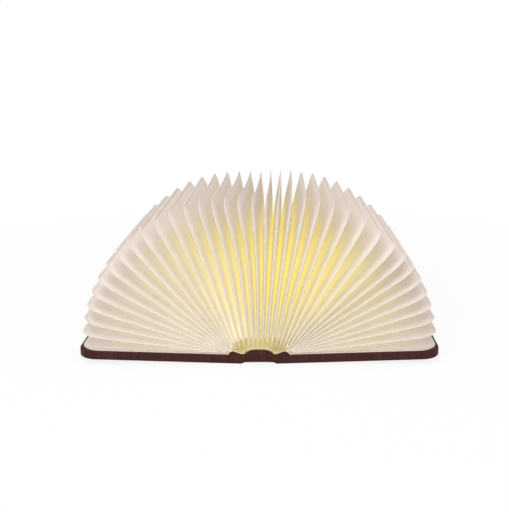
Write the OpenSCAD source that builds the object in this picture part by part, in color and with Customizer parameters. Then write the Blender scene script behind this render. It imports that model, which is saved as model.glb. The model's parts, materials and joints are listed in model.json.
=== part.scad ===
// Folding book lamp, lying open on its covers.
// X runs across the open covers, Y along the spine, Z up. The foot of the book is at -Y.
// The origin is under the middle of the spine, on the surface that the lamp stands on.

/* [Covers] */
// Width of a cover, from the hinge axis to its fore-edge
cover_w = 90.2; // [84:0.1:96]
// Length of a cover along the spine
cover_len = 122; // [110:1:140]
// Thickness of a cover
cover_t = 4.7; // [4:0.1:6]
// Corner radius of a cover at its fore-edge
cover_corner = 10; // [5:0.5:16]
// Thickness of the wrap round the cover board
wrap_t = 0.6; // [0.4:0.1:1]
// How far a cover tips up when the lamp lies open
cover_tilt = 1.8; // [1:0.1:3]
// Height of the rim along the spine side of a cover, over the cover
rim_h = 2.6; // [2:0.1:2.9]
// Thickness of the rim at its foot
rim_t = 1.7; // [1.4:0.1:2.2]
// Distance from the hinge axis to the foot of the rim
rim_in = 5.1; // [4.9:0.1:6]

/* [Spine] */
// Distance from the middle of the spine to each hinge axis
hinge_x = 10.4; // [10.2:0.1:12]
// Width of the spine tray
spine_w = 15.4; // [14:0.1:15.4]
// Height of the tray's underside over the table
spine_lift = 1.1; // [1:0.1:1.6]
// Height of the arched end caps over the table
spine_top = 8.1; // [7.6:0.1:8.2]
// Radius of the arch over the spine
arch_r = 20.3; // [16:0.1:26]
// Wall of the spine tray
tray_wall = 1.2; // [0.8:0.1:1.6]
// Thickness of an end cap
cap_t = 1.6; // [1.2:0.1:2.4]
// Thickness of the diffuser strip
diffuser_t = 1; // [0.7:0.1:1.2]
// How far the diffuser stands over the end caps
diffuser_step = 0.6; // [0.3:0.1:0.6]

/* [Leaves] */
// Width of a leaf, from its inner end to its fore-edge
leaf_w = 81.2; // [76:0.1:84]
// Corner radius of a leaf
leaf_corner = 11; // [6:0.5:16]
// Width of the sealed rim along the edges of a leaf
seal_w = 1.6; // [1.2:0.1:2.4]
// Thickness of the sealed rim
seal_t = 0.34; // [0.2:0.02:0.36]
// Angle between leaves away from the top of the fan
leaf_angle = 5.04; // [5:0.01:5.1]
// How much closer the leaves at the top of the fan stand
crown_angle = 2.1; // [1.5:0.1:2.4]
// Number of leaves on each side that stand closer
crown_count = 8.7; // [7:0.1:10]
// Half the width of the arch that the leaves stand on
root_x = 14.2; // [14:0.1:14.4]
// Height of that arch at its feet, over the table
root_z = 5.2; // [5:0.1:5.4]
// Rise of that arch from its feet to its top
root_rise = 4.2; // [4:0.1:4.4]
// How far the side leaves are pushed out by the rim
root_push = 4.5; // [4.3:0.1:4.8]

/* [Pleats] */
// Thickness of the pleated sheet
pleat_t = 0.15; // [0.1:0.01:0.2]
// Depth of a valley fold behind the leaves' fore-edges
valley_fore = 25; // [18:0.5:32]
// Depth of a valley fold behind the leaves' ends, at the fore-edge side
valley_end = 21; // [14:0.5:28]
// Depth of a valley fold behind the leaves' ends, at the spine side
valley_root = 11; // [7:0.5:14]
// Corner radius of a valley fold
valley_corner = 6; // [2:0.5:10]

/* [Electronics] */
// Width of the LED board
led_board_w = 8; // [6:0.5:9]
// Number of LEDs
led_count = 12; // [6:1:16]
// Length of an LED along the spine
led_len = 3.5; // [2:0.1:4]
// Width of an LED
led_w = 2.8; // [2:0.1:4]
// Thickness of the rechargeable cell
cell_t = 2.5; // [2:0.1:2.6]
// Length of the charge board
charge_board_len = 26; // [20:1:28]
// Width of the charging socket
socket_w = 7.5; // [6:0.1:8]
// Height of the charging socket
socket_h = 2.6; // [2.2:0.1:2.6]
// Diameter of a magnet in a cover
magnet_d = 10; // [6:0.5:12]
// Diameter of a cap screw
screw_d = 1.4; // [1.2:0.1:1.4]

/* [Hidden] */
$fn = 64;
gap = 0.3;                                  // between pieces that move apart
seat = 0.05;                                // between pieces that only rest on each other
leaf_count = 34;
fan_half = (leaf_count + 1) / 2;            // end leaf's number, counted from the middle of the fan
outer_t = cover_t / 2 + 0.05;               // from the hinge axis down to a cover's outer face
inner_t = cover_t - outer_t;                // from the hinge axis up to a cover's inner face
cover_in = gap;                             // from the hinge axis to the cover's spine edge
heel_r = 0.8;                               // rounding of a cover's lower spine edge
notch_in = 0.6;                             // from the hinge axis in to the cloth's fold
notch_up = 0.8;                             // from a cover's inner face up to that fold
hinge_z = heel_r - (cover_in + heel_r) * sin(cover_tilt) + (outer_t - heel_r) * cos(cover_tilt);
turn_in = 10;                               // width of the wrap's turned-in margin
end_leaf_t = 0.3;
end_leaf_in = rim_in + rim_t + gap;         // from the hinge axis to the end leaf
end_leaf_out = cover_w - 1.4;
magnet_t = 1.6;
magnet_in = 14;                             // from the cover's edges to a magnet's axis

arch_z = spine_top - arch_r;                // centre of the arch over the spine
tray_len = cover_len - 2 * cap_t;
tray_top = arch_z + sqrt(pow(arch_r + diffuser_step - diffuser_t, 2) - pow(spine_w / 2, 2)) - 0.4;
tray_chamfer = 0.7;
floor_z = spine_lift + tray_wall;
cell_w = spine_w - 2 * tray_wall - 2 * gap;
cell_clear = 5.4;                           // from the cell's end past a rib to the charge board
cell_len = tray_len - 2 * (charge_board_len + cell_clear);
socket_len = 5.6;
board_t = 0.6;
board_z = floor_z + cell_t + 2 * seat;      // underside of the LED board
led_board_len = tray_len - socket_len - 4 * gap;
rib_t = 1.2;                                // ribs that carry the LED board
rib_gap = 0.5;                              // between the cell and a rib
rib_y = cell_len / 2 + rib_gap + rib_t / 2;
led_h = 0.7;
led_pitch = (tray_len - 2 * turn_in) / led_count;
charge_board_y = tray_len / 2 - charge_board_len - gap;
charge_board_z = floor_z + 0.4;
socket_shell = 0.3;
sensor_w = 3;
screw_head_d = screw_d * 1.7;
screw_x = (spine_w - screw_head_d) / 2 - 0.5;
screw_z = [spine_lift + 1.7, tray_top - 1.3];
screw_len = 5;
boss_w = 2.6;
boss_len = screw_len - cap_t + 0.8;

leaf_len = tray_len - gap;
leaf_half = leaf_len / 2;
fold_start = 2.2;                           // from a leaf's inner end to the pleats' inner ends
fold_lift = 0.03;                           // between a leaf's plane and the pleat beside it
fold_depth = 1.6;                           // thickness of a pleat along its valley
arc_steps = 3;

function leaf_name(i) = str("leaf_", i < 10 ? "0" : "", i);

// A leaf's place is counted from the middle of the fan: -17.5 is the front end leaf, +17.5 the back one.
function place_of(i) = i - fan_half;
function lean(t) = t * (leaf_angle - crown_angle * exp(-pow(abs(t) / crown_count, 2.5)));
function root_turn(t) = min(90, 90 * abs(t) / 8);
function root(t) = [sign(t) * root_x * sin(root_turn(t)), root_z + root_rise * cos(root_turn(t))];
function push(t) = 0.1 + root_push * pow(sin(root_turn(t)), 1.5);

// The point of leaf t that lies s from its inner end and is lifted off its plane by a small side step.
function on_leaf(t, s, y, side = 0) =
    let (a = lean(t), b = root(t), d = s + push(t))
    [b[0] + d * sin(a) + side * cos(a), y, b[1] + d * cos(a) - side * sin(a)];

// The point of a cover that lies u out from the hinge axis and w up from it, on the back cover.
function on_cover(u, w) =
    [hinge_x + u * cos(cover_tilt) - w * sin(cover_tilt), hinge_z + u * sin(cover_tilt) + w * cos(cover_tilt)];

module mirrored(side) {
    if (side > 0) children();
    else mirror([1, 0, 0]) children();
}

// Cover frame: X out from the hinge axis, Y along it, Z up from it.
module cover_frame(side) {
    mirrored(side) translate([hinge_x, 0, hinge_z]) rotate([0, -cover_tilt, 0]) children();
}

// Plate outline from x = a to x = b, with round corners at b.
module plate_outline(a, b, half, r) {
    translate([a, -half]) square([b - r - a, 2 * half]);
    translate([a, r - half]) square([b - a, 2 * (half - r)]);
    for (y = [r - half, half - r]) translate([b - r, y]) circle(r);
}

// Section along the spine, drawn in X and Z.
module along_spine(len, y = 0) {
    translate([0, y + len / 2, 0]) rotate([90, 0, 0]) linear_extrude(len) children();
}

// ---- covers ----

module cover_outline(inset = 0) {
    plate_outline(cover_in + inset, cover_w - inset, cover_len / 2 - inset, cover_corner - inset);
}

module turn_in_window(inset = 0) {
    plate_outline(end_leaf_in + turn_in + inset, cover_w - turn_in - inset,
        cover_len / 2 - turn_in - inset, cover_corner / 2);
}

module heel_cut() {
    translate([cover_in, 0, -outer_t]) rotate([90, 0, 0]) difference() {
        translate([-1, -1, -cover_len]) cube([heel_r + 1, heel_r + 1, 2 * cover_len]);
        translate([heel_r, heel_r, -cover_len]) cylinder(r = heel_r, h = 2 * cover_len);
    }
}

module cover_wrap(side) {
    color("#4a2427") cover_frame(side) difference() {
        translate([0, 0, -outer_t]) linear_extrude(cover_t) cover_outline();
        translate([0, 0, wrap_t - outer_t]) linear_extrude(cover_t - 2 * wrap_t) cover_outline(wrap_t + heel_r / 4);
        translate([0, 0, inner_t - 2 * wrap_t]) linear_extrude(3 * wrap_t) turn_in_window();
        heel_cut();
    }
}

module magnet_spots() {
    for (y = [-1, 1]) translate([cover_w - magnet_in, y * (cover_len / 2 - magnet_in), 0]) children();
}

module cover_board(side) {
    color("#b39b7d") cover_frame(side) difference() {
        translate([0, 0, wrap_t + seat - outer_t])
            linear_extrude(cover_t - 2 * wrap_t - 2 * seat) cover_outline(wrap_t + heel_r / 4 + seat);
        magnet_spots() translate([0, 0, inner_t - wrap_t - magnet_t - seat])
            cylinder(d = magnet_d + 2 * seat, h = magnet_t + 1);
    }
}

module cover_magnets(side) {
    color("#b9bcc2") cover_frame(side) magnet_spots()
        translate([0, 0, inner_t - wrap_t - magnet_t - seat]) cylinder(d = magnet_d, h = magnet_t);
}

module cover_rim(side) {
    color("#4a2427") cover_frame(side) along_spine(cover_len) {
        polygon([[rim_in, inner_t], [rim_in + rim_t, inner_t],
            [rim_in + rim_t - 0.1, inner_t + rim_h - 0.5], [rim_in + rim_t - 0.4, inner_t + rim_h],
            [rim_in + rim_t - 0.7, inner_t + rim_h]]);
    }
}

module end_leaf(side) {
    color("#f4efe6") cover_frame(side) {
        translate([0, 0, inner_t]) linear_extrude(end_leaf_t)
            plate_outline(end_leaf_in, end_leaf_out, leaf_half, leaf_corner);
        translate([0, 0, inner_t - wrap_t + seat]) linear_extrude(wrap_t) turn_in_window(gap);
    }
}

// ---- spine ----

// Everything under an arch over the spine that is raised by step.
module arch_section(half, z0, step) {
    intersection() {
        translate([0, arch_z]) circle(arch_r + step, $fn = 200);
        translate([-half, z0]) square([2 * half, arch_r]);
    }
}

module tray_section(half) {
    polygon([[-half, tray_top], [-half, spine_lift + tray_chamfer], [tray_chamfer - half, spine_lift],
        [half - tray_chamfer, spine_lift], [half, spine_lift + tray_chamfer], [half, tray_top]]);
}

module spine_tray() {
    half = spine_w / 2;
    color("#3d1e20") difference() {
        along_spine(tray_len) tray_section(half);
        difference() {
            translate([tray_wall - half, -tray_len, floor_z]) cube([spine_w - 2 * tray_wall, 2 * tray_len, arch_r]);
            for (y = [-rib_y, rib_y]) translate([-half, y - rib_t / 2, 0]) cube([spine_w, rib_t, board_z]);
            for (x = [-1, 1], y = [-1, 1])
                translate([x * (half - boss_w / 2) - boss_w / 2, y * (tray_len - boss_len) / 2 - boss_len / 2, 0])
                    cube([boss_w, boss_len, tray_top]);
        }
        screw_spots() translate([0, 0, -1]) cylinder(d = screw_d - 0.2, h = screw_len + 1);
    }
}

module screw_spots() {
    for (x = [-1, 1], e = [-1, 1])
        translate([x * screw_x, e * cover_len / 2, screw_z[(1 + x * e) / 2]]) rotate([e * 90, 0, 0]) children();
}

module end_cap(e) {
    half = spine_w / 2;
    color("#4a2427") difference() {
        along_spine(cap_t, e * (cover_len - cap_t) / 2) intersection() {
            arch_section(half, spine_lift, 0);
            polygon([[-spine_w, arch_r], [-half, spine_lift + tray_chamfer], [tray_chamfer - half, spine_lift],
                [half - tray_chamfer, spine_lift], [half, spine_lift + tray_chamfer], [spine_w, arch_r]]);
        }
        screw_spots() {
            translate([0, 0, -1]) cylinder(d = screw_d + 0.2, h = screw_len + 1);
            translate([0, 0, -1]) cylinder(d = screw_head_d + 0.2, h = 1.6);
        }
        if (e > 0) socket_place() translate([0, 0, socket_h / 2])
            cube([socket_w + 2 * gap, 4 * cap_t, socket_h + 2 * gap], center = true);
    }
}

module cap_screws() {
    color("#8d8f94") screw_spots() {
        translate([0, 0, 0.1]) cylinder(d = screw_head_d, h = 0.5);
        translate([0, 0, 0.1]) cylinder(d = screw_d, h = cap_t - 0.1);
        translate([0, 0, cap_t - 0.5]) cylinder(d = screw_d - 0.2, h = screw_len - cap_t);
    }
}

module diffuser() {
    half = spine_w / 2;
    color("#efe9b8") along_spine(tray_len) difference() {
        arch_section(half, tray_top, diffuser_step);
        arch_section(half - tray_wall, 0, diffuser_step - diffuser_t);
    }
}

module led_board() {
    color("#f2f2ee") translate([-led_board_w / 2, seat - tray_len / 2, board_z + seat])
        cube([led_board_w, led_board_len, board_t]);
}

module leds() {
    color("#ffe9a0") for (k = [0:led_count - 1])
        translate([-led_w / 2, (k + 0.5 - led_count / 2) * led_pitch - led_len / 2, board_z + seat + board_t])
            cube([led_w, led_len, led_h]);
}

module flat_cell() {
    color("#c9ccd1") translate([-cell_w / 2, -cell_len / 2, floor_z + seat]) cube([cell_w, cell_len, cell_t]);
}

module charge_board() {
    color("#2f6b4a") translate([-socket_w / 2, charge_board_y, floor_z + seat])
        cube([socket_w, charge_board_len, charge_board_z - floor_z - 2 * seat]);
}

module socket_place() {
    translate([0, cover_len / 2 - socket_len / 2 - gap, charge_board_z]) children();
}

module charging_socket() {
    color("#b9bcc2") socket_place() translate([-socket_w / 2, -socket_len / 2, 0]) difference() {
        cube([socket_w, socket_len, socket_h]);
        translate([socket_shell, 1, socket_shell])
            cube([socket_w - 2 * socket_shell, socket_len, socket_h - 2 * socket_shell]);
    }
}

module cover_sensor() {
    color("#26282b") translate([-sensor_w / 2, -rib_y - rib_t - sensor_w - 1, floor_z + seat])
        cube([sensor_w, sensor_w, cell_t]);
}

// Folded cloth that fills the notch between the spine and a cover.
module hinge_cloth(side) {
    half = spine_w / 2 + 0.1;
    notch = [hinge_x - notch_in, hinge_z + inner_t + notch_up];
    heel = on_cover(cover_in - 0.1, heel_r - outer_t);
    top_in = on_cover(cover_in - 0.1, inner_t + 0.1);
    foot = on_cover(rim_in - 0.15, inner_t + 0.1);
    crest = on_cover(rim_in + rim_t - 0.9, inner_t + rim_h - 0.1);
    color("#4a2427") mirrored(side) along_spine(cover_len - 1) difference() {
        polygon([[half, spine_lift + 0.1], [hinge_x - 0.7, 0.3], heel, top_in, foot, crest, notch,
            [half, spine_top + diffuser_step]]);
        difference() {
            translate([0, notch[1]]) square([notch[0], arch_r]);
            translate([0, arch_z]) circle(arch_r, $fn = 200);
        }
    }
}

// ---- leaves ----

module leaf(i) {
    t = place_of(i);
    start = on_leaf(t, 0, 0);
    color("#fbf7ef") translate(start) rotate([0, lean(t) - 90, 0]) translate([0, 0, -seal_t / 2])
        linear_extrude(seal_t) difference() {
            plate_outline(0, leaf_w, leaf_half, leaf_corner);
            plate_outline(-1, leaf_w - seal_w, leaf_half - seal_w, leaf_corner - seal_w);
        }
}

// Points along a U: up one end, round a corner, along the fore-edge and back.
function u_path(s0, s1, half0, half1, r) =
    let (arc = [for (k = [0:arc_steps]) let (a = 90 * k / arc_steps) [s1 - r + r * sin(a), half1 - r + r * cos(a)]])
    concat([[s0, -half0]], [for (p = arc) [p[0], -p[1]]],
        [for (k = [arc_steps:-1:0]) arc[k]], [[s0, half0]]);

// One pleat: a sheet folded into a V, from the rim of leaf t to the rim of leaf t + 1.
module pleat(t) {
    ridge = u_path(fold_start, leaf_w - seal_w - seat, leaf_half - seal_w - seat,
        leaf_half - seal_w - seat, leaf_corner - seal_w);
    valley = u_path(fold_start, leaf_w - valley_fore, leaf_half - valley_root, leaf_half - valley_end, valley_corner);
    last = len(ridge) - 1;
    points = [for (k = [0:last]) let (p = ridge[k], v = valley[k],
            deep = [v[0] - (k == 0 || k == last ? 0 : fold_depth), v[1] * (1 - fold_depth / leaf_half)])
        each [
            on_leaf(t, p[0], p[1], fold_lift + pleat_t),
            on_leaf(t + 0.5, v[0], v[1]),
            on_leaf(t + 1, p[0], p[1], -fold_lift - pleat_t),
            on_leaf(t + 1, p[0], p[1], -fold_lift),
            on_leaf(t + 0.5, deep[0], deep[1]),
            on_leaf(t, p[0], p[1], fold_lift)]];
    // Both faces of the sheet are cut along the same diagonals, so that they can't cross.
    sides = [for (k = [0:last - 1], j = [0:5]) let (a = 6 * k + j, b = 6 * k + (j + 1) % 6)
        each j < 3 ? [[a, b + 6, b], [a, a + 6, b + 6]] : [[a, a + 6, b], [b, a + 6, b + 6]]];
    e = 6 * last;
    ends = [[0, 4, 5], [0, 1, 4], [1, 3, 4], [1, 2, 3],
        [e, e + 5, e + 4], [e, e + 4, e + 1], [e + 1, e + 4, e + 3], [e + 1, e + 3, e + 2]];
    polyhedron(points, concat(sides, ends));
}

module pleats(from, to) {
    color("#f3e6b4") for (t = [from:to]) pleat(t);
}

spine_tray();
diffuser();
end_cap(-1);  // foot_cap
end_cap(1);  // head_cap
cap_screws();
led_board();
leds();
flat_cell();
charge_board();
charging_socket();
cover_sensor();
hinge_cloth(-1);  // front_hinge_cloth
hinge_cloth(1);  // back_hinge_cloth
cover_board(-1);  // front_board
cover_wrap(-1);  // front_wrap
cover_rim(-1);  // front_rim
cover_magnets(-1);  // front_magnets
end_leaf(-1);  // front_end_leaf
cover_board(1);  // back_board
cover_wrap(1);  // back_wrap
cover_rim(1);  // back_rim
cover_magnets(1);  // back_magnets
end_leaf(1);  // back_end_leaf
pleats(-fan_half, -1);  // front_pleats
pleats(-0.5, fan_half - 1);  // back_pleats
for (i = [1:leaf_count]) {
    leaf(i);
}
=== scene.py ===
import json
import math

import bmesh
import bpy
import numpy as np
from mathutils import Matrix, Vector


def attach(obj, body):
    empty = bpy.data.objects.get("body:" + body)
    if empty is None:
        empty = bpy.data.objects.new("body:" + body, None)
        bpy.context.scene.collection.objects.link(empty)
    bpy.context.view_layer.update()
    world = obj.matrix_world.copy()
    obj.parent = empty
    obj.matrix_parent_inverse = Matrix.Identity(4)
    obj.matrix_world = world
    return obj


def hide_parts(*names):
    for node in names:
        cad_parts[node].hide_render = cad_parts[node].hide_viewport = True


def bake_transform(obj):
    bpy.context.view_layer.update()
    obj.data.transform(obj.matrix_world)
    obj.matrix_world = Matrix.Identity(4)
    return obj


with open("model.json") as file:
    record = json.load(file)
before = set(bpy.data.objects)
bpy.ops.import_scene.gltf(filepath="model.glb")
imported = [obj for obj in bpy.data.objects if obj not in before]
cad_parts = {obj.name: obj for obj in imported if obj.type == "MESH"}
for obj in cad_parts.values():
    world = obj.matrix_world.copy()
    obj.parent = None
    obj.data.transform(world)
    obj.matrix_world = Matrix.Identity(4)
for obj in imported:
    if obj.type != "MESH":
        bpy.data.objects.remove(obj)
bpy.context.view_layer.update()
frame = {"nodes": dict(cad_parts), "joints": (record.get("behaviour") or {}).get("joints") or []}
cad = frame["nodes"]
mm = 0.001
print("frame loaded:", len(cad), "solids")

# The camera stands in front of the foot of the book and looks down on it.
cameraPlan = {
    "place": (11.5 * mm, -474.7 * mm, 166.5 * mm),
    "downward": math.radians(14.26),
    "lens": 56.25,
    "sensor": 36.0,
    "sideShift": -0.0498,
    "rise": 0.0007,
}


def placeCamera(plan):
    data = bpy.data.cameras.new("frontCamera")
    data.lens = plan["lens"]
    data.sensor_width = plan["sensor"]
    data.shift_x, data.shift_y = plan["sideShift"], plan["rise"]
    data.clip_start, data.clip_end = 0.02, 20
    camera = bpy.data.objects.new("frontCamera", data)
    camera.location = plan["place"]
    camera.rotation_euler = (math.pi / 2 - plan["downward"], 0, 0)
    bpy.context.scene.collection.objects.link(camera)
    bpy.context.scene.camera = camera


placeCamera(cameraPlan)
print("camera placed")


def addNode(tree, kind, inputs=None, **settings):
    node = tree.nodes.new(kind)
    for key, value in settings.items():
        setattr(node, key, value)
    for key, value in (inputs or {}).items():
        socket = node.inputs[key]
        if isinstance(value, bpy.types.NodeSocket):
            tree.links.new(value, socket)
        else:
            socket.default_value = value
    return node


def calc(tree, operation, *values):
    return addNode(tree, "ShaderNodeMath", dict(enumerate(values)), operation=operation).outputs[0]


def plus(tree, first, second):
    return calc(tree, "ADD", first, second)


def minus(tree, first, second):
    return calc(tree, "SUBTRACT", first, second)


def times(tree, *values):
    product = values[0]
    for value in values[1:]:
        product = calc(tree, "MULTIPLY", product, value)
    return product


def smoothStep(tree, value, low, high):
    inputs = {"Value": value, "From Min": low, "From Max": high}
    return addNode(tree, "ShaderNodeMapRange", inputs, interpolation_type="SMOOTHSTEP").outputs["Result"]


def addVectors(tree, first, second):
    return addNode(tree, "ShaderNodeVectorMath", {0: first, 1: second}, operation="ADD").outputs[0]


def moveAlong(tree, point, direction, distance):
    step = addNode(tree, "ShaderNodeVectorMath", {0: direction, "Scale": distance}, operation="SCALE")
    return addVectors(tree, point, step.outputs[0])


def splitUp(tree, vector):
    return addNode(tree, "ShaderNodeSeparateXYZ", {0: vector}).outputs


def combined(tree, parts):
    return addNode(tree, "ShaderNodeCombineXYZ", parts).outputs[0]


def mixColour(tree, share, first, second):
    return addNode(tree, "ShaderNodeMix", {0: share, 6: first, 7: second}, data_type="RGBA").outputs[2]


def colour(red, green, blue):
    # screen colour 0..255 to the linear colour that a shader takes
    def linear(level):
        level /= 255
        return level / 12.92 if level <= 0.04045 else ((level + 0.055) / 1.055) ** 2.4

    return (linear(red), linear(green), linear(blue), 1.0)


def newMaterial(name):
    material = bpy.data.materials.new(name)
    material.use_nodes = True
    tree = material.node_tree
    shader = tree.nodes["Principled BSDF"]
    place = addNode(tree, "ShaderNodeTexCoord").outputs["Object"]
    return material, tree, shader, place


def stretched(tree, place, scale):
    return addNode(tree, "ShaderNodeMapping", {"Vector": place, "Scale": scale}).outputs[0]


def noiseOf(tree, place, scale, detail, roughness=0.55):
    inputs = {"Vector": place, "Scale": scale, "Detail": detail, "Roughness": roughness}
    return addNode(tree, "ShaderNodeTexNoise", inputs).outputs[0]


def addBump(tree, shader, height, strength, distance):
    bump = addNode(tree, "ShaderNodeBump", {"Height": height, "Strength": strength, "Distance": distance})
    tree.links.new(bump.outputs[0], shader.inputs["Normal"])


wrapLook = {
    "deep": colour(56, 28, 25),
    "main": colour(70, 36, 34),
    "light": colour(88, 50, 46),
    "threadScale": 900,
    "slubScale": 260,
    "crossScale": 2400,
    "roughness": 0.62,
    "gloss": 0.16,
    "relief": 0.12 * mm,
}


def makeWrapMaterial(look):
    # bookcloth: fine threads along the spine direction, seen on the edges as upright streaks
    material, tree, shader, place = newMaterial("bookcloth")
    facing = splitUp(tree, addNode(tree, "ShaderNodeTexCoord").outputs["Normal"])
    turn = smoothStep(tree, calc(tree, "ABSOLUTE", facing[0]), 0.55, 0.85)
    alongX = noiseOf(tree, stretched(tree, place, (1, 0.05, 0.04)), look["threadScale"], 4)
    alongY = noiseOf(tree, stretched(tree, place, (0.04, 1, 0.04)), look["threadScale"], 4)
    threads = plus(tree, times(tree, alongX, minus(tree, 1.0, turn)), times(tree, alongY, turn))
    slubs = noiseOf(tree, stretched(tree, place, (1, 0.2, 0.2)), look["slubScale"], 2)
    crossThreads = noiseOf(tree, stretched(tree, place, (0.2, 1, 0.6)), look["crossScale"], 2)
    tone = mixColour(tree, smoothStep(tree, threads, 0.34, 0.62), look["deep"], look["main"])
    tone = mixColour(tree, times(tree, smoothStep(tree, slubs, 0.55, 0.8), 0.6), tone, look["light"])
    tone = mixColour(tree, times(tree, smoothStep(tree, crossThreads, 0.5, 0.8), 0.25), tone, look["light"])
    tree.links.new(tone, shader.inputs["Base Color"])
    tree.links.new(plus(tree, look["roughness"], times(tree, slubs, 0.2)), shader.inputs["Roughness"])
    shader.inputs["Specular IOR Level"].default_value = look["gloss"]
    addBump(tree, shader, plus(tree, threads, times(tree, crossThreads, 0.5)), 0.5, look["relief"])
    return material


paperLook = {
    "rim": colour(234, 226, 219),
    "rimShade": colour(230, 219, 214),
    "plain": colour(230, 225, 218),
    "shade": colour(224, 217, 208),
    "tip": colour(232, 222, 216),
    "paintedGlowTint": colour(245, 234, 200),
    "outerGlow": colour(253, 247, 222),
    "middleGlow": colour(253, 247, 164),
    "outerStrength": 0.28,
    "middleStrength": 0.255,
    "outerPower": 1.2,
    "outerTips": 0.35,  # share of the glow that is lost at the leaves' tips
    "middleTips": 0.5,
    "rootGlow": 1.1,  # painted glow added close to the leaves' inner ends, lifting the shade there
    "panelGlow": (0.36, 0.56),  # share of the painted glow beside a rim, and what the fold adds to it
    "rimGlow": 0.12,
    "warmPlace": 2.3,  # the leaf about which the painted glow is warmest, and how many leaves that reaches
    "warmSpread": 10.0,
    "endLeaf": colour(240, 231, 224),
    "endLeafShade": colour(228, 217, 208),
    "roughness": 0.8,
    "gloss": 0.2,
    "fibreScale": 1500,
    "cloudScale": 160,
    "relief": 0.12 * mm,
}


def addPaperGrain(tree, shader, place, look):
    fibres = noiseOf(tree, stretched(tree, place, (1, 0.35, 1)), look["fibreScale"], 5, 0.65)
    clouds = noiseOf(tree, place, look["cloudScale"], 3)
    addBump(tree, shader, plus(tree, fibres, times(tree, clouds, 2.0)), 0.25, look["relief"])
    return fibres, clouds


def readAttribute(tree, name):
    return addNode(tree, "ShaderNodeAttribute", attribute_name=name).outputs["Fac"]


def makePaperMaterial(name, look, isRim=False):
    # translucent paper, lit from inside the fan: that light is painted, as a painted glow in the emission and
    # a painted warm tint in the colour; it grows towards the folds, where it also lifts their shade, and is
    # most at the middle of the fan
    material, tree, shader, place = newMaterial(name)
    fibres, clouds = addPaperGrain(tree, shader, place, look)
    depth = readAttribute(tree, "foldDepth")
    reach = readAttribute(tree, "reach")
    away = minus(tree, readAttribute(tree, "fanPlace"), look["warmPlace"])
    fan = calc(tree, "DIVIDE", away, look["warmSpread"])
    middle = calc(tree, "EXPONENT", times(tree, times(tree, fan, fan), -1.0))
    rising = plus(tree, 0.5, times(tree, smoothStep(tree, reach, 0.05, 0.4), 0.5))
    falling = minus(tree, 1.0, smoothStep(tree, reach, 0.68, 1.0))
    paintedGlowWarmth = times(tree, middle, rising, falling)
    if isRim:
        tone = mixColour(tree, smoothStep(tree, reach, 0.75, 1.0), look["rim"], look["rimShade"])
        deep = look["rimGlow"]
    else:
        beside, folded = look["panelGlow"]
        # painted glow, growing into the fold and lifting its shade
        deep = plus(tree, beside, times(tree, smoothStep(tree, depth, 0.03, 0.7), folded))
        body = mixColour(tree, smoothStep(tree, clouds, 0.35, 0.7), look["plain"], look["shade"])
        # painted glow: a warm tint in the colour, most at the middle of the fan and in the folds
        body = mixColour(tree, times(tree, paintedGlowWarmth, deep), body, look["paintedGlowTint"])
        cool = minus(tree, 1.0, times(tree, middle, smoothStep(tree, depth, 0.1, 0.6), 0.8))
        body = mixColour(tree, times(tree, smoothStep(tree, reach, 0.66, 0.98), cool), body, look["tip"])
        # beside the rim the panel takes the rim's colour: the whiter sealed paper there, and a painted
        # gradient of shade from the rim into the fold
        tone = mixColour(tree, smoothStep(tree, depth, 0.0, 0.22), look["rim"], body)
    speck = mixColour(tree, times(tree, smoothStep(tree, fibres, 0.55, 0.8), 0.1), tone, look["rim"])
    tree.links.new(speck, shader.inputs["Base Color"])
    shader.inputs["Roughness"].default_value = look["roughness"]
    shader.inputs["Specular IOR Level"].default_value = look["gloss"]
    glow = mixColour(tree, paintedGlowWarmth, look["outerGlow"], look["middleGlow"])
    tree.links.new(glow, shader.inputs["Emission Color"])
    # painted glow, strongest at the leaves' inner ends, lifting the shade among them
    atRoot = minus(tree, look["rootGlow"], times(tree, smoothStep(tree, reach, 0.02, 0.2), look["rootGlow"]))
    byRoot = plus(tree, minus(tree, 2.0, smoothStep(tree, reach, 0.0, 0.6)), atRoot)
    tips = smoothStep(tree, reach, 0.5, 1.0)
    outer = times(tree, look["outerStrength"], byRoot, minus(tree, 1.0, times(tree, tips, look["outerTips"])))
    inner = times(tree, look["middleStrength"], minus(tree, 1.0, times(tree, tips, look["middleTips"])))
    outerShare = calc(tree, "POWER", minus(tree, 1.0, middle), look["outerPower"])
    strength = plus(tree, times(tree, outer, outerShare), times(tree, inner, middle))
    tree.links.new(times(tree, strength, deep), shader.inputs["Emission Strength"])
    return material


def makeEndLeafMaterial(look):
    material, tree, shader, place = newMaterial("endLeafPaper")
    fibres, clouds = addPaperGrain(tree, shader, place, look)
    tone = mixColour(tree, smoothStep(tree, clouds, 0.35, 0.7), look["endLeaf"], look["endLeafShade"])
    tree.links.new(mixColour(tree, times(tree, fibres, 0.2), tone, look["rim"]), shader.inputs["Base Color"])
    shader.inputs["Roughness"].default_value = look["roughness"]
    return material


liningLook = {
    "pale": colour(212, 201, 168),
    "body": colour(208, 196, 153),
    # painted shade: the tone taken away from the spine's middle
    "deep": colour(177, 163, 122),
    "glow": colour(255, 238, 172),
    "glowStrength": 0.15,
    "underLeaves": 0.13,  # added to the glow from the first of these places along the spine to the second; on the hinge lining this glow is painted light
    "leavesFrom": (-58 * mm, -46 * mm),
    "paintedShadeSpan": (2 * mm, 11 * mm),  # painted shade, from the middle of the spine outwards
    "turnsPlain": (14.9 * mm, 15.5 * mm),
    "relief": 0.05 * mm,
}


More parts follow.
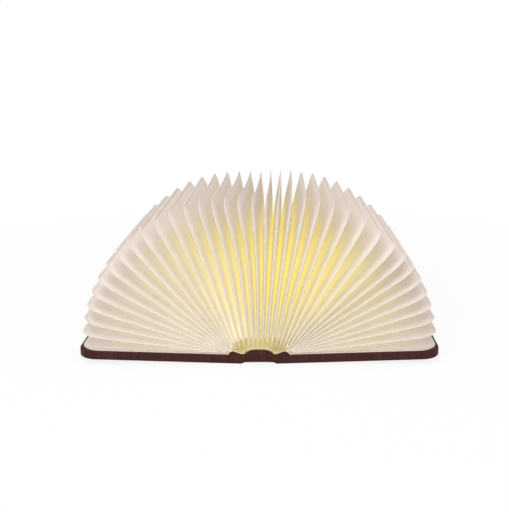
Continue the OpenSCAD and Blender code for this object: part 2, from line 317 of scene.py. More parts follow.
def makeLiningMaterial(name, look, roughness, grain):
    # frosted strip over the lamps, and the cream lining of the hinges beside it. Both glow, the strip with
    # the lamps' own light and the lining with painted light, and both take a painted shade that darkens away
    # from the spine's middle
    material, tree, shader, place = newMaterial(name)
    clouds = noiseOf(tree, place, 420, 4)
    spot = splitUp(tree, place)
    across = calc(tree, "ABSOLUTE", spot[0])
    # painted shade: darker away from the spine's middle, where the lamps are
    tone = mixColour(tree, smoothStep(tree, across, *look["paintedShadeSpan"]), look["body"], look["deep"])
    tone = mixColour(tree, times(tree, clouds, 0.35), tone, look["pale"])
    tone = mixColour(tree, smoothStep(tree, across, *look["turnsPlain"]), tone, paperLook["rim"])
    tree.links.new(tone, shader.inputs["Base Color"])
    shader.inputs["Roughness"].default_value = roughness
    shader.inputs["Emission Color"].default_value = look["glow"]
    # painted glow: more of it further along the spine, under the leaves
    under = times(tree, smoothStep(tree, spot[1], *look["leavesFrom"]), look["underLeaves"])
    glow = times(tree, plus(tree, 0.7, times(tree, clouds, 0.6)), plus(tree, under, look["glowStrength"]))
    tree.links.new(glow, shader.inputs["Emission Strength"])
    addBump(tree, shader, noiseOf(tree, place, grain, 2), 0.2, look["relief"])
    return material


def makeGrainedMaterial(name, dark, light, grain, roughness, metallic=0.0, stretch=(1, 1, 1)):
    # moulded, sawn or brushed stock: a two-tone grain that also varies the roughness and the surface
    material, tree, shader, place = newMaterial(name)
    pattern = noiseOf(tree, stretched(tree, place, stretch), grain, 4, 0.6)
    tone = mixColour(tree, smoothStep(tree, pattern, 0.3, 0.7), dark, light)
    tree.links.new(tone, shader.inputs["Base Color"])
    tree.links.new(plus(tree, roughness - 0.06, times(tree, pattern, 0.12)), shader.inputs["Roughness"])
    shader.inputs["Metallic"].default_value = metallic
    addBump(tree, shader, pattern, 0.25, 0.08 * mm)
    return material


def makeLedMaterial():
    material, tree, shader, place = newMaterial("warmLed")
    dots = addNode(tree, "ShaderNodeTexVoronoi", {"Vector": place, "Scale": 900}).outputs["Distance"]
    tone = mixColour(tree, smoothStep(tree, dots, 0.2, 0.7), colour(255, 214, 90), colour(255, 240, 180))
    tree.links.new(tone, shader.inputs["Base Color"])
    tree.links.new(tone, shader.inputs["Emission Color"])
    shader.inputs["Emission Strength"].default_value = 2.0
    return material


def makeBoardMaterial(name, base, copper):
    # circuit board: faint traces under the lacquer
    material, tree, shader, place = newMaterial(name)
    cells = addNode(tree, "ShaderNodeTexBrick", {
        "Vector": stretched(tree, place, (1, 1, 0)), "Scale": 420, "Mortar Size": 0.03,
        "Color1": base, "Color2": base, "Mortar": copper}).outputs["Color"]
    grain = noiseOf(tree, place, 1800, 3)
    tree.links.new(mixColour(tree, times(tree, grain, 0.2), cells, copper), shader.inputs["Base Color"])
    shader.inputs["Roughness"].default_value = 0.35
    addBump(tree, shader, grain, 0.15, 0.04 * mm)
    return material


bookcloth = makeWrapMaterial(wrapLook)
foldPaper = makePaperMaterial("foldPaper", paperLook)
rimPaper = makePaperMaterial("rimPaper", paperLook, isRim=True)
endPaper = makeEndLeafMaterial(paperLook)
frosted = makeLiningMaterial("frostedDiffuser", liningLook, 0.42, 2600)
liningCloth = makeLiningMaterial("hingeLining", liningLook, 0.75, 1500)
warmLed = makeLedMaterial()
ledWhite = makeBoardMaterial("ledBoard", colour(232, 231, 224), colour(205, 188, 140))
boardGreen = makeBoardMaterial("chargeBoard", colour(32, 86, 56), colour(92, 130, 70))

stock = {  # darker and lighter colour, size of the grain, roughness, share of metal, stretch of the grain
    "greyboard": (colour(120, 104, 86), colour(164, 146, 122), 900, 0.85),
    "darkPlastic": (colour(46, 26, 27), colour(66, 40, 39), 1600, 0.5),
    "capPlastic": (colour(58, 31, 28), colour(76, 43, 39), 700, 0.55, 0.0, (1, 1, 0.1)),
    "brushedSteel": (colour(150, 152, 156), colour(206, 208, 212), 1200, 0.32, 1.0, (1, 0.1, 1)),
    "brownedScrew": (colour(48, 31, 30), colour(82, 55, 50), 1600, 0.42, 0.6),
    "cellFoil": (colour(176, 180, 186), colour(214, 217, 222), 700, 0.3, 0.7, (1, 0.3, 1)),
    "sensorBlack": (colour(24, 25, 27), colour(52, 54, 58), 1500, 0.45),
}
stock = {name: makeGrainedMaterial(name, *values) for name, values in stock.items()}

cadLooks = {
    "front_board": stock["greyboard"],
    "back_board": stock["greyboard"],
    "front_magnets": stock["brushedSteel"],
    "back_magnets": stock["brushedSteel"],
    "front_end_leaf": endPaper,
    "back_end_leaf": endPaper,
    "spine_tray": stock["darkPlastic"],
    "head_cap": stock["capPlastic"],
    "cap_screws": stock["brownedScrew"],
    "diffuser": frosted,
    "led_board": ledWhite,
    "leds": warmLed,
    "flat_cell": stock["cellFoil"],
    "charge_board": boardGreen,
    "charging_socket": stock["brushedSteel"],
    "cover_sensor": stock["sensorBlack"],
}
for nodeName, look in cadLooks.items():
    cad[nodeName].data.materials.clear()
    cad[nodeName].data.materials.append(look)
print("materials made")


def addPiece(name, mesh):
    piece = bpy.data.objects.new(name, mesh)
    bpy.context.scene.collection.objects.link(piece)
    return piece


def smoothMesh(mesh, angle):
    mesh.polygons.foreach_set("use_smooth", [True] * len(mesh.polygons))
    mesh.set_sharp_from_angle(angle=math.radians(angle))


def bakeModifiers(piece):
    # the evaluated shape becomes the piece's own plain mesh
    bpy.context.view_layer.update()
    graph = bpy.context.evaluated_depsgraph_get()
    shape = piece.evaluated_get(graph)
    mesh = bpy.data.meshes.new_from_object(shape, preserve_all_data_layers=True, depsgraph=graph)
    piece.modifiers.clear()
    piece.data = mesh
    return piece


# Where the leaves stand. A place counts leaves from the middle of the fan, towards the back cover.
fan = {
    "leaves": 34,
    "step": math.radians(5.04),
    "crown": math.radians(2.1),  # the step is smaller by this at the middle, within about this many places
    "crownCount": 8.7,
    "crownPower": 2.5,
    "rootX": 14.2 * mm,
    "rootZ": 5.2 * mm,
    "rootRise": 4.2 * mm,
    "rootPlaces": 8,  # the leaves' inner ends follow the arch up to this place
    "rootPush": 4.5 * mm,
    "leastPush": 0.1 * mm,
    "pushPower": 1.5,
    "leafWidth": 81.2 * mm,
    "leafHalf": 59.25 * mm,
    "leafCorner": 11 * mm,
    "innerReach": [(6.0, 2.6, 2.2 * mm), (10.0, 4.0, 1.0 * mm)],  # place, spread, how far
}
fanEnd = (fan["leaves"] + 1) / 2  # the place of the back cover's end leaf; the front one's is minus this


def leanOf(place):
    # angle from upright of the leaf at that place
    crown = fan["crown"] * math.exp(-((abs(place) / fan["crownCount"]) ** fan["crownPower"]))
    return place * (fan["step"] - crown)


def originOf(place):
    # inner end of a leaf, on the arch over the spine
    turn = min(math.pi / 2, math.pi / 2 * abs(place) / fan["rootPlaces"])
    lean = leanOf(place)
    push = fan["leastPush"] + fan["rootPush"] * math.sin(turn) ** fan["pushPower"]
    side = math.copysign(1, place)
    return Vector((
        side * fan["rootX"] * math.sin(turn) + push * math.sin(lean),
        0,
        fan["rootZ"] + fan["rootRise"] * math.cos(turn) + push * math.cos(lean),
    ))


# How the opened leaves stray from the even fan. Each entry is (place, spread, size). Foot, halfway and head
# are degrees by which a leaf turns towards the back cover there, and bow the same for the outer part of its
# foot end alone. Slide is millimetres by which its head end moves outwards.
stray = {
    "foot": [(-2.2, 2.6, 1.7), (9.6, 1.9, 2.4), (13.0, 2.0, 0.5)],
    "halfway": [(5.5, 3.5, 0.6)],
    "head": [(-1.2, 3.6, 1.15)],
    "slide": [(1.3, 1.0, 1.7), (4.0, 5.0, 0.6)],
    "bow": [(-2.2, 2.1, -2.3), (1.5, 0.5, -0.05), (2.5, 0.5, -0.15)],
}
bowPlan = {"start": 0.45, "length": 0.5, "power": 1.5}  # over which part of a leaf's width its foot end bows


def strayOf(which, place):
    return sum(size * np.exp(-(((place - at) / spread) ** 2)) for at, spread, size in stray[which])


def turnPoles():
    # The points that the leaves turn about, by place. The joints of the middle pair lie far off on either
    # side, and their leaves hardly turn, so here they are taken to lie on the middle line.
    poles = {}
    for joint in frame["joints"]:
        if joint["child"].startswith("leaf_"):
            place = int(joint["child"][-2:]) - fanEnd
            poles[place] = joint["pos_m"]
    return np.array([(place, 0 if abs(place) < 1 else x, z) for place, (x, _, z) in sorted(poles.items())])


poles = turnPoles()


def readNumbers(mesh, name):
    values = np.zeros(len(mesh.vertices), np.float32)
    mesh.attributes[name].data.foreach_get("value", values)
    return values


def letStray(piece, place):
    # turns each point about its pole; place is where on the fan each point stands
    spots = np.zeros(len(piece.data.vertices) * 3, np.float32)
    piece.data.vertices.foreach_get("co", spots)
    x, y, z = spots.reshape(-1, 3).astype(float).T
    along = np.clip(y / (2 * fan["leafHalf"]) + 0.5, 0, 1)
    angle = strayOf("foot", place) * (1 - along) + strayOf("head", place) * along
    reach = readNumbers(piece.data, "reach")
    bow = np.clip((reach - bowPlan["start"]) / bowPlan["length"], 0, 1) ** bowPlan["power"] * (1 - along) ** 2
    angle = angle + strayOf("halfway", place) * 4 * along * (1 - along) + strayOf("bow", place) * bow
    angle = np.radians(angle)
    lean = np.array([leanOf(p) for p in place])
    slide = strayOf("slide", place) * mm * along * reach
    x, z = x + slide * np.sin(lean), z + slide * np.cos(lean)
    poleX, poleZ = (np.interp(place, poles[:, 0], poles[:, k]) for k in (1, 2))
    awayX, awayZ = x - poleX, z - poleZ
    turnedX = poleX + awayX * np.cos(angle) + awayZ * np.sin(angle)
    turnedZ = poleZ + awayZ * np.cos(angle) - awayX * np.sin(angle)
    spots = np.stack([turnedX, y, turnedZ], axis=1).astype(np.float32)
    piece.data.vertices.foreach_set("co", spots.ravel())
    piece.data.update()
    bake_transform(piece)


def innerEnd(place):
    # how far the leaves beside the lamps reach in past their even line, down to the hinge lining
    return -sum(size * math.exp(-(((abs(place) - at) / spread) ** 2))
                for at, spread, size in fan["innerReach"])


def newTree(name, inputs):
    # inputs holds the labels of the group's inputs, by the kind of their sockets
    tree = bpy.data.node_groups.new(name, "GeometryNodeTree")
    for kind, labels in inputs.items():
        for label in labels:
            tree.interface.new_socket(label, in_out="INPUT", socket_type="NodeSocket" + kind)
    tree.interface.new_socket("Geometry", in_out="OUTPUT", socket_type="NodeSocketGeometry")
    return tree, addNode(tree, "NodeGroupInput").outputs


def endTree(tree, geometry, material):
    real = addNode(tree, "GeometryNodeRealizeInstances", {"Geometry": geometry}).outputs[0]
    done = addNode(tree, "GeometryNodeSetMaterial", {"Geometry": real, "Material": material})
    addNode(tree, "NodeGroupOutput", {0: done.outputs[0]})


def storeNumber(tree, geometry, label, value):
    inputs = {"Geometry": geometry, "Name": label, "Value": value}
    stored = addNode(tree, "GeometryNodeStoreNamedAttribute", inputs, data_type="FLOAT", domain="POINT")
    return stored.outputs[0]


def growPiece(name, tree, values, finish=None):
    # runs a tree on an empty mesh and keeps the result
    piece = addPiece(name, bpy.data.meshes.new(name))
    modifier = piece.modifiers.new("grow", "NODES")
    modifier.node_group = tree
    sockets = {i.name: i.identifier for i in tree.interface.items_tree if i.in_out == "INPUT"}
    for label, value in values.items():
        modifier[sockets[label]] = value
    if finish:
        finish(piece)
    return bakeModifiers(piece)


def roundCorners(tree, curve, radius, count):
    inputs = {"Curve": curve, "Count": count, "Radius": radius, "Limit Radius": True}
    return addNode(tree, "GeometryNodeFilletCurve", inputs, mode="POLY").outputs[0]


def roundedU(tree, start, reach, halfStart, halfEnd, radius):
    # open curve: out along one end of a leaf, along the fore-edge, and back along the other end
    minusStart, minusEnd = times(tree, halfStart, -1.0), times(tree, halfEnd, -1.0)
    corners = {
        "Point 1": combined(tree, {0: start, 1: minusStart}),
        "Point 2": combined(tree, {0: reach, 1: minusEnd}),
        "Point 3": combined(tree, {0: reach, 1: halfEnd}),
        "Point 4": combined(tree, {0: start, 1: halfStart}),
    }
    quad = addNode(tree, "GeometryNodeCurvePrimitiveQuadrilateral", corners, mode="POINTS").outputs[0]
    opened = addNode(tree, "GeometryNodeSetSplineCyclic", {"Geometry": quad, "Cyclic": False})
    return roundCorners(tree, opened.outputs[0], radius, 8)


# the sealed rim along three edges of each leaf
rimPlan = {
    "width": 1.6 * mm,
    "thickness": 0.34 * mm,
    "edgeRound": 0.12 * mm,
    "step": 2.8 * mm,
}


def makeRimTree():
    tree, given = newTree("sealedRim", {
        "Float": ["Lean", "Place", "Leaf Width", "Half Length", "Corner", "Rim Width", "Rim Thickness",
                  "Edge Round", "Start", "Step"],
        "Vector": ["Origin"],
        "Material": ["Paper"],
    })
    halfRim = times(tree, given["Rim Width"], 0.5)
    reach = minus(tree, given["Leaf Width"], halfRim)
    half = minus(tree, given["Half Length"], halfRim)
    path = roundedU(tree, given["Start"], reach, half, half, minus(tree, given["Corner"], halfRim))
    inputs = {"Curve": path, "Length": given["Step"]}
    path = addNode(tree, "GeometryNodeResampleCurve", inputs, mode="LENGTH").outputs[0]
    path = addNode(tree, "GeometryNodeSetCurveNormal", {"Curve": path}, mode="Z_UP").outputs[0]
    inputs = {"Width": given["Rim Width"], "Height": given["Rim Thickness"]}
    section = addNode(tree, "GeometryNodeCurvePrimitiveQuadrilateral", inputs).outputs[0]
    section = roundCorners(tree, section, given["Edge Round"], 2)
    inputs = {"Curve": path, "Profile Curve": section, "Fill Caps": True}
    ribbon = addNode(tree, "GeometryNodeCurveToMesh", inputs).outputs[0]
    outward = splitUp(tree, addNode(tree, "GeometryNodeInputPosition").outputs[0])[0]
    ribbon = storeNumber(tree, ribbon, "reach", calc(tree, "DIVIDE", outward, given["Leaf Width"]))
    ribbon = storeNumber(tree, ribbon, "fanPlace", given["Place"])
    turn = combined(tree, {1: minus(tree, given["Lean"], math.pi / 2)})
    inputs = {"Geometry": ribbon, "Translation": given["Origin"], "Rotation": turn}
    stood = addNode(tree, "GeometryNodeTransform", inputs)
    endTree(tree, stood.outputs[0], given["Paper"])
    return tree


def makeRims():
    tree = makeRimTree()
    for number in range(1, fan["leaves"] + 1):
        place = number - fanEnd
        rim = growPiece(f"sealed_rim_{number:02d}", tree, {
            "Lean": leanOf(place),
            "Origin": originOf(place),
            "Place": place,
            "Leaf Width": fan["leafWidth"],
            "Half Length": fan["leafHalf"],
            "Corner": fan["leafCorner"],
            "Rim Width": rimPlan["width"],
            "Rim Thickness": rimPlan["thickness"],
            "Edge Round": rimPlan["edgeRound"],
            "Start": innerEnd(place),
            "Step": rimPlan["step"],
            "Paper": rimPaper,
        })
        smoothMesh(rim.data, 50)
        letStray(rim, np.full(len(rim.data.vertices), place))
        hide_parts(f"leaf_{number:02d}")


makeRims()
print("sealed rims made")


# a pleat is a folded sheet between one leaf and the next
pleatPlan = {
    "start": 2.2 * mm,  # from a leaf's inner end to where the pleats begin
    "foreDepth": 25 * mm,
    "endDepth": 21 * mm,
    "rootDepth": 11 * mm,
    "foldCorner": 6 * mm,
    "deeper": (1.6, 2.3, 3.6 * mm),  # the folds round this place, within this spread, lie deeper by this much
    "lift": 0.1 * mm,  # between a leaf's middle plane and the sheet beside it
    "bulge": 0.35 * mm,
    "wave": 0.5 * mm,
    "waveSize": 45.0,
    "calmStart": 0.3,  # the panels next to a cover lie flatter
    "calmPlaces": 3.5,
    "sheet": 0.1 * mm,
    "columns": 112,
    "rows": 9,
    "seed": 4.0,
}


def makePanelTree():
    tree, given = newTree("pleatPanel", {
        "Float": ["Side", "Place", "Rim Lean", "Fold Lean", "Rim Start", "Fold Start", "Leaf Width",
                  "Half Length", "Corner", "Rim Width", "Fore Depth", "End Depth", "Root Depth",
                  "Fold Corner", "Lift", "Bulge", "Wave", "Wave Size", "Seed"],
        "Vector": ["Rim Origin", "Fold Origin"],
        "Int": ["Columns", "Rows"],
        "Material": ["Paper"],
    })
    width, half, rimWidth = given["Leaf Width"], given["Half Length"], given["Rim Width"]
    ridgeHalf = minus(tree, half, rimWidth)
    ridge = roundedU(tree, given["Rim Start"], minus(tree, width, rimWidth), ridgeHalf, ridgeHalf,
                     minus(tree, given["Corner"], rimWidth))
    valley = roundedU(tree, given["Fold Start"], minus(tree, width, given["Fore Depth"]),
                      minus(tree, half, given["Root Depth"]), minus(tree, half, given["End Depth"]),
                      given["Fold Corner"])
    inputs = {"Size X": 1.0, "Size Y": 1.0, "Vertices X": given["Columns"], "Vertices Y": given["Rows"]}
    grid = addNode(tree, "GeometryNodeMeshGrid", inputs).outputs[0]
    square = splitUp(tree, addNode(tree, "GeometryNodeInputPosition").outputs[0])
    along, deep = plus(tree, square[0], 0.5), plus(tree, square[1], 0.5)
    grid = storeNumber(tree, grid, "foldDepth", deep)
    grid = storeNumber(tree, grid, "fanPlace", given["Place"])

    def onPlane(curve, lean, origin):
        inputs = {"Curves": curve, "Factor": along}
        spot = addNode(tree, "GeometryNodeSampleCurve", inputs, mode="FACTOR").outputs["Position"]
        flat = splitUp(tree, spot)
        sine, cosine = calc(tree, "SINE", lean), calc(tree, "COSINE", lean)
        outward = combined(tree, {0: sine, 2: cosine})
        across = combined(tree, {0: cosine, 2: times(tree, sine, -1.0)})
        sidewise = combined(tree, {1: flat[1]})
        point = moveAlong(tree, addVectors(tree, origin, sidewise), outward, flat[0])
        return point, across, flat[0]

    rimPoint, rimAcross, rimReach = onPlane(ridge, given["Rim Lean"], given["Rim Origin"])
    foldPoint, foldAcross, foldReach = onPlane(valley, given["Fold Lean"], given["Fold Origin"])
    rimPoint = moveAlong(tree, rimPoint, rimAcross, times(tree, given["Side"], given["Lift"]))
    inputs = {0: deep, 4: rimPoint, 5: foldPoint}
    point = addNode(tree, "ShaderNodeMix", inputs, data_type="VECTOR").outputs[1]
    # a slight crown in each panel, and a gentle unevenness that grows into the fold
    arch = calc(tree, "SINE", times(tree, deep, math.pi))
    crown = times(tree, arch, times(tree, given["Side"], given["Bulge"]))
    inputs = {"Vector": point, "W": given["Seed"], "Scale": given["Wave Size"], "Detail": 1.0}
    noise = addNode(tree, "ShaderNodeTexNoise", inputs, noise_dimensions="4D").outputs[0]
    uneven = times(tree, minus(tree, noise, 0.5), times(tree, deep, given["Wave"]))
    point = moveAlong(tree, point, rimAcross, crown)
    point = moveAlong(tree, point, foldAcross, uneven)
    atRim, atFold = times(tree, rimReach, minus(tree, 1.0, deep)), times(tree, foldReach, deep)
    grid = storeNumber(tree, grid, "reach", calc(tree, "DIVIDE", plus(tree, atRim, atFold), width))
    sheet = addNode(tree, "GeometryNodeSetPosition", {"Geometry": grid, "Position": point})
    endTree(tree, sheet.outputs[0], given["Paper"])
    return tree


def growPanel(name, tree, place, side):
    plan = pleatPlan

    def thicken(piece):
        solid = piece.modifiers.new("sheet", "SOLIDIFY")
        solid.thickness = plan["sheet"]
        solid.offset = 0

    fold = place + side / 2
    at, spread, size = plan["deeper"]
    deeper = size * math.exp(-(((fold - at) / spread) ** 2))
    calm = min(1, (fanEnd - abs(place) + plan["calmStart"]) / plan["calmPlaces"])
    return growPiece(name, tree, {
        "Side": float(side),
        "Place": place,
        "Rim Lean": leanOf(place),
        "Rim Origin": originOf(place),
        "Rim Start": plan["start"] + innerEnd(place),
        "Fold Lean": leanOf(fold),
        "Fold Origin": originOf(fold),
        "Fold Start": plan["start"] + innerEnd(fold),
        "Fold Corner": plan["foldCorner"],
        "Leaf Width": fan["leafWidth"],
        "Half Length": fan["leafHalf"],
        "Corner": fan["leafCorner"],
        "Rim Width": rimPlan["width"],
        "Fore Depth": plan["foreDepth"] + deeper,
        "End Depth": plan["endDepth"] + deeper,
        "Root Depth": plan["rootDepth"],
        "Lift": plan["lift"],
        "Bulge": plan["bulge"] * calm,
        "Wave": plan["wave"] * calm,
        "Wave Size": plan["waveSize"],
        "Columns": plan["columns"],
        "Rows": plan["rows"],
        "Seed": plan["seed"],
        "Paper": foldPaper,
    }, thicken)


def makePleats():
    tree = makePanelTree()
    for number in range(fan["leaves"] + 2):
        place = number - fanEnd
        for side, word in ((-1, "left"), (1, "right")):
            if abs(place + side) > fanEnd:
                continue
            panel = growPanel(f"pleat_{number:02d}_{word}", tree, place, side)
            if side > 0:
                panel.data.flip_normals()
            smoothMesh(panel.data, 60)
            # each point turns by its own share of the leaf's angle, so that both panels of a fold meet in it
            letStray(panel, place + side * readNumbers(panel.data, "foldDepth") / 2)
            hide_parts("front_pleats" if place + side / 2 < -0.25 else "back_pleats")


makePleats()
print("pleats made")


# Where a cover's hinge axis lies, and the cover measured from that axis: outwards, and up and down.
coverPlan = {
    "hingeX": 10.4 * mm,
    "hingeZ": 2.36466 * mm,
    "tilt": math.radians(1.8),
    "inner": 0.3 * mm,
    "width": 90.2 * mm,
    "half": 61 * mm,
    "corner": 10 * mm,
    "spineCorner": 0.8 * mm,
    "below": 2.4 * mm,
    "above": 2.3 * mm,
    "wrap": 0.6 * mm,
    "edgeRound": 0.7 * mm,
    "turnIn": 10 * mm,
    "endLeafStart": 7.1 * mm,
    "cutCorner": 0.4 * mm,
}


def coverFrame(side):
    # X out from the hinge axis, Y along it, Z up from the cover
    axis = Matrix.Translation((coverPlan["hingeX"], 0, coverPlan["hingeZ"]))
    place = axis @ Matrix.Rotation(-coverPlan["tilt"], 4, "Y")
    return place if side > 0 else Matrix.Scale(-1, 4, (1, 0, 0)) @ place


def plateOutline(start, end, half, startRound, endRound, steps=10):
    outline = []
    for x, y, radius, turn in ((end, -half, endRound, -90), (end, half, endRound, 0),
                               (start, half, startRound, 90), (start, -half, startRound, 180)):
        centre = (x - math.copysign(radius, x - (start + end) / 2), y - math.copysign(radius, y))
        for k in range(steps + 1):
            angle = math.radians(turn + 90 * k / steps)
            outline.append((centre[0] + radius * math.cos(angle), centre[1] + radius * math.sin(angle)))
    return outline


def plateMesh(outline, low, high, edgeRound=0.0):
    plate = bmesh.new()
    face = plate.faces.new([plate.verts.new((x, y, low)) for x, y in outline])
    lifted = bmesh.ops.extrude_face_region(plate, geom=[face])["geom"]
    upper = [part for part in lifted if isinstance(part, bmesh.types.BMVert)]
    bmesh.ops.translate(plate, vec=(0, 0, high - low), verts=upper)
    bmesh.ops.recalc_face_normals(plate, faces=plate.faces)
    if edgeRound:
        rims = [e for e in plate.edges if abs(e.verts[0].co.z - e.verts[1].co.z) < 1e-7]
        bmesh.ops.bevel(plate, geom=rims, offset=edgeRound, segments=5, profile=0.5, affect="EDGES",
                        clamp_overlap=True)
    mesh = bpy.data.meshes.new("plate")
    plate.to_mesh(mesh)
    plate.free()
    return mesh


def cutAway(piece, cutterMesh):
    cutter = addPiece("cutter", cutterMesh)
    cut = piece.modifiers.new("cut", "BOOLEAN")
    cut.operation, cut.solver, cut.object = "DIFFERENCE", "EXACT", cutter
    bakeModifiers(piece)
    bpy.data.objects.remove(cutter)


def placeMesh(mesh, matrix):
    mesh.transform(matrix)
    if matrix.determinant() < 0:
        mesh.flip_normals()


def makeCover(side, word):
    plan = coverPlan
    inner, width, half, corner = plan["inner"], plan["width"], plan["half"], plan["corner"]
    low, high, wrap, turnIn = -plan["below"], plan["above"], plan["wrap"], plan["turnIn"]
    skin = plateOutline(inner, width, half, plan["spineCorner"], corner)
    cover = addPiece(f"{word}_cover_wrap", plateMesh(skin, low, high, plan["edgeRound"]))
    # the room for the board, and the opening on the inner side that the end leaf covers
    room = plateOutline(inner + wrap, width - wrap, half - wrap, plan["cutCorner"], corner - wrap)
    cutAway(cover, plateMesh(room, low + wrap, high - wrap))
    opening = plateOutline(plan["endLeafStart"] + turnIn, width - turnIn, half - turnIn, plan["cutCorner"],
                           corner / 2)
    cutAway(cover, plateMesh(opening, high - 2 * wrap, high + wrap))
    placeMesh(cover.data, coverFrame(side))
    cover.data.materials.clear()
    cover.data.materials.append(bookcloth)
    smoothMesh(cover.data, 40)
    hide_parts(f"{word}_wrap")
    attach(cover, f"{word}_cover")


for side, word in ((-1, "front"), (1, "back")):
    makeCover(side, word)
print("covers made")


# The sections are points (x, z) in millimetres on the back cover's side: the hinge cloth's upper side, the
# line below it where lining and wrap meet at the two ends, its underside, and the rim along the cover.
hingePlan = {
    "half": 61 * mm,
    "clothHalf": 60.93 * mm,
    "turnIn": 0.8 * mm,
    "spineFoot": 1.0 * mm,
    "archHigh": 7.94 * mm,
    "archDrop": 2.7 * mm,
    "archReach": 9.6 * mm,
    "archPower": 1.9,
    "lining": [
        (7.62, 7.15), (8.6, 6.6), (9.5, 6.12), (10.4, 6.18), (11.4, 6.58),
        (12.5, 7.02), (13.5, 7.4), (14.7, 7.52), (15.6, 7.12), (16.3, 6.4),
    ],
    "edge": [
        (7.62, 6.1), (8.5, 5.9), (9.45, 5.78), (10.3, 5.98), (11.4, 6.42),
        (12.5, 6.88), (13.5, 7.28), (14.7, 7.42), (15.6, 7.04), (16.3, 6.32),
    ],
    "under": [
        (7.62, 1.0), (8.4, 0.85), (9.1, 0.4), (9.9, 0.1), (10.9, 0.1),
        (11.9, 0.5), (12.3, 2.2), (13.2, 4.2), (15.4, 4.3), (16.1, 5.9),
    ],
    "rimCrest": [
        (15.6, 4.5), (16.05, 6.1), (16.2, 6.38), (16.45, 6.15),
        (16.78, 5.6), (17.1, 5.12), (17.62, 5.0), (17.64, 4.6),
    ],
    "uneven": 0.045,  # the front hinge's cloth reaches this share further out, the back one's this share less
    "heldOver": 1.5,  # but over these last millimetres the back one is held, so that it meets the rim
    "columns": 28,
    "rows": 60,
}


def archTop(x):
    # the spine's rounded upper side, easing into the hinges
    plan = hingePlan
    reach = min(abs(x), plan["archReach"]) / plan["archReach"]
    return plan["archHigh"] - plan["archDrop"] * math.sin(math.pi / 2 * reach ** plan["archPower"]) ** 2


def lengthwise(name, lines, half, rows, turnIn=0.0):
    # A bar along the spine. Lines are matching rows of section points, from its upper side to its lower side.
    # The upper side has the second material, but for the ends turned in. If there are three lines, so has the
    # strip between the first two at both ends of the bar.
    first, middle, last = lines[0], lines[1:-1], lines[-1]
    count = len(first)
    outerSide, innerSide = [line[-1] for line in middle], [line[0] for line in reversed(middle)]
    ring = [*first, *outerSide, *reversed(last), *innerSide]
    spots = list(np.linspace(turnIn - half, half - turnIn, rows + 1))
    if turnIn:
        spots = [-half, *spots, half]
    shape = bmesh.new()
    rings = [[shape.verts.new((x, y, z)) for x, z in ring] for y in spots]
    for r, (low, high) in enumerate(zip(rings, rings[1:])):
        turned = turnIn and r in (0, len(rings) - 2)
        for k in range(len(ring)):
            after = (k + 1) % len(ring)
            face = shape.faces.new((low[k], low[after], high[after], high[k]))
            face.material_index = 1 if k < count - 1 and not turned else 0
    for y, verts in ((-half, rings[0]), (half, rings[-1])):
        grid = [verts[:count]]
        for k, line in enumerate(middle):
            inner = [shape.verts.new((x, y, z)) for x, z in line[1:-1]]
            grid.append([verts[-1 - k], *inner, verts[count + k]])
        grid.append(list(reversed(verts[count + len(lines) - 2:2 * count + len(lines) - 2])))
        for k, (upper, lower) in enumerate(zip(grid, grid[1:])):
            for n in range(count - 1):
                face = shape.faces.new((upper[n], upper[n + 1], lower[n + 1], lower[n]))
                face.material_index = 1 if k == 0 and len(lines) > 2 else 0
    bmesh.ops.remove_doubles(shape, verts=shape.verts, dist=1e-6)
    bmesh.ops.recalc_face_normals(shape, faces=shape.faces)
    mesh = bpy.data.meshes.new(name)
    shape.to_mesh(mesh)
    shape.free()
    return addPiece(name, mesh)


def evenly(points, count, smoothing=0):
    # the same line with evenly spaced points, its corners eased
    line = np.array(points, float)
    steps = np.r_[0, np.cumsum(np.linalg.norm(np.diff(line, axis=0), axis=1))]
    spots = np.linspace(0, steps[-1], count)
    line = np.stack([np.interp(spots, steps, line[:, k]) for k in (0, 1)], axis=1)
    for _ in range(smoothing):
        line[1:-1] = (line[:-2] + 2 * line[1:-1] + line[2:]) / 4
    return [tuple(p) for p in line]


def section(side, points, smoothing=1, stretch=0.0):
    start, end = points[0][0], points[-1][0]
    placed = []
    for x, z in points:
        held = 1 if stretch > 0 else min(1, (end - x) / hingePlan["heldOver"])
        placed.append(((x + (x - start) * stretch * held) * mm, z * mm))
    return [(side * x, z) for x, z in evenly(placed, hingePlan["columns"], smoothing)]


def makeRimBar(side, word):
    plan = hingePlan
    top = section(side, plan["rimCrest"], 2)
    foot = evenly([top[0], top[-1]], plan["columns"])
    bar = lengthwise(f"{word}_cover_rim", [top, foot], plan["half"], plan["rows"], plan["turnIn"])
    for look in (bookcloth, endPaper):
        bar.data.materials.append(look)
    smoothMesh(bar.data, 50)
    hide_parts(f"{word}_rim")
    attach(bar, f"{word}_cover")


def makeHingeCloth(side, word):
    plan = hingePlan
    stretch = -side * plan["uneven"]
    lines = [section(side, plan[line], stretch=stretch) for line in ("lining", "edge", "under")]
    cloth = lengthwise(f"{word}_hinge_cloth_fold", lines, plan["clothHalf"], plan["rows"])
    for look in (bookcloth, liningCloth):
        cloth.data.materials.append(look)
    smoothMesh(cloth.data, 50)
    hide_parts(f"{word}_hinge_cloth")
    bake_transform(cloth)


capPlan = {
    "thickness": 1.55 * mm,
    "front": -61 * mm,
    "half": 7.84 * mm,
    "foot": 1.1 * mm,
    "edgeRound": 0.06 * mm,
    "lipDrop": 3.5 * mm,
    "lipSteep": 1.35,
    "lipWidth": 0.55 * mm,
    "lipRise": 0.16 * mm,
    "lipSunk": 0.4 * mm,
    "lipShare": 0.97,  # of the cap's width
    "lipRound": 0.9,  # of its rise
    "steps": 24,
}


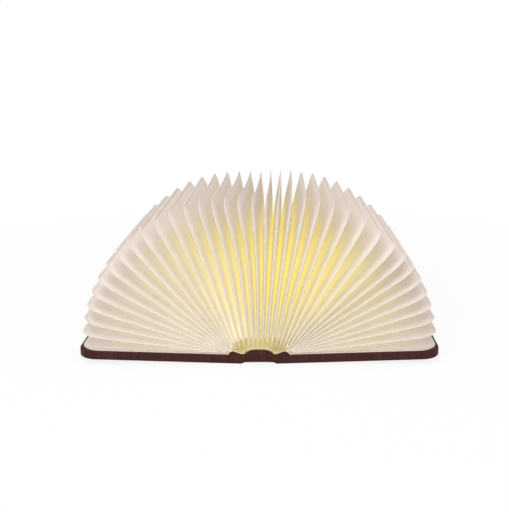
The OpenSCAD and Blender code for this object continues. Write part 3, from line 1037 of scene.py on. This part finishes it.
def makeFootCover(plan):
    # the spine's cloth is drawn over the cap at the foot, and turned in along a lip under the arch
    def lipAt(x, drop):
        fall = hingePlan["archHigh"] - archTop(x)
        return hingePlan["archHigh"] - plan["lipDrop"] - drop - fall * plan["lipSteep"]

    half, foot, thickness = plan["half"], plan["foot"], plan["thickness"]
    xs = [half - 2 * half * k / plan["steps"] for k in range(plan["steps"] + 1)]
    low = hingePlan["spineFoot"]
    under = [(-half, low), (-half / 2, foot), (half / 2, foot), (half, low)]
    outline = [(x, archTop(x)) for x in xs] + under
    cover = addPiece("foot_cap_cover", plateMesh(outline, 0, thickness, plan["edgeRound"]))
    lipXs = [x * plan["lipShare"] for x in xs]
    lip = [(x, lipAt(x, 0)) for x in lipXs] + [(x, lipAt(x, plan["lipWidth"])) for x in reversed(lipXs)]
    rise = plan["lipRise"]
    bead = plateMesh(lip, thickness - plan["lipSunk"], thickness + rise, rise * plan["lipRound"])
    joined = bmesh.new()
    joined.from_mesh(cover.data)
    joined.from_mesh(bead)
    joined.to_mesh(cover.data)
    joined.free()
    forward = Matrix.Translation((0, plan["front"] + thickness, 0))
    placeMesh(cover.data, forward @ Matrix.Rotation(math.pi / 2, 4, "X"))
    cover.data.materials.append(bookcloth)
    smoothMesh(cover.data, 40)
    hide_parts("foot_cap")
    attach(cover, "spine")


for side, word in ((-1, "front"), (1, "back")):
    makeRimBar(side, word)
    makeHingeCloth(side, word)
makeFootCover(capPlan)
print("hinges made")


studio = {
    "floorSize": 8.0,
    "floorColour": (0.9, 0.9, 0.9, 1),
    "whiteShare": 0.86,  # how much of the seen floor is plain white near the lamp; the rest keeps the shadow
    "whiteFrom": 0.16,
    "whiteTo": 0.5,
    "ambient": 0.58,
    "aim": (0, 0, 0.03),
    "lamps": [  # name, place, size, power
        ("overhead", (-0.1, -0.35, 1.3), 1.1, 7.0),
        ("frontLeft", (-1.0, -1.1, 0.75), 0.9, 5.3),
        ("frontRight", (1.1, -0.9, 0.6), 0.9, 3.5),
    ],
}


def seenDirectly(tree):
    # 1 for rays that show the background itself, 0 for rays that only light things
    path = addNode(tree, "ShaderNodeLightPath").outputs
    either = calc(tree, "MAXIMUM", path["Is Camera Ray"], path["Is Glossy Ray"])
    return calc(tree, "MAXIMUM", either, path["Is Transmission Ray"])


def makeFloor(plan):
    mesh = bpy.data.meshes.new("floor")
    reach = plan["floorSize"] / 2
    corners = [(-reach, -reach, 0), (reach, -reach, 0), (reach, reach, 0), (-reach, reach, 0)]
    mesh.from_pydata(corners, [], [(0, 1, 2, 3)])
    floor = addPiece("floor", mesh)
    material = bpy.data.materials.new("paleFloor")
    material.use_nodes = True
    tree = material.node_tree
    tree.nodes.clear()
    matte = addNode(tree, "ShaderNodeBsdfDiffuse", {"Color": plan["floorColour"]}).outputs[0]
    white = addNode(tree, "ShaderNodeEmission", {"Color": (1, 1, 1, 1), "Strength": 1.0}).outputs[0]
    place = addNode(tree, "ShaderNodeTexCoord").outputs["Object"]
    away = addNode(tree, "ShaderNodeVectorMath", {0: place}, operation="LENGTH").outputs["Value"]
    fading = smoothStep(tree, away, plan["whiteFrom"], plan["whiteTo"])
    plain = plus(tree, plan["whiteShare"], times(tree, fading, 1 - plan["whiteShare"]))
    share = times(tree, seenDirectly(tree), plain)
    mixed = addNode(tree, "ShaderNodeMixShader", {0: share, 1: matte, 2: white}).outputs[0]
    addNode(tree, "ShaderNodeOutputMaterial", {"Surface": mixed})
    mesh.materials.append(material)


def makeSky(plan):
    world = bpy.data.worlds.new("studio")
    bpy.context.scene.world = world
    world.use_nodes = True
    tree = world.node_tree
    tree.nodes.clear()
    strength = plus(tree, times(tree, seenDirectly(tree), 1 - plan["ambient"]), plan["ambient"])
    sky = addNode(tree, "ShaderNodeBackground", {"Color": (1, 1, 1, 1), "Strength": strength})
    addNode(tree, "ShaderNodeOutputWorld", {"Surface": sky.outputs[0]})


def placeLamps(plan):
    for name, place, size, power in plan["lamps"]:
        data = bpy.data.lights.new(name, "AREA")
        data.shape, data.size, data.energy = "DISK", size, power
        lamp = bpy.data.objects.new(name, data)
        lamp.location = place
        lamp.rotation_euler = (Vector(plan["aim"]) - Vector(place)).to_track_quat("-Z", "Y").to_euler()
        bpy.context.scene.collection.objects.link(lamp)


makeFloor(studio)
makeSky(studio)
placeLamps(studio)
bpy.context.scene.view_settings.view_transform = "Standard"
print("studio made")
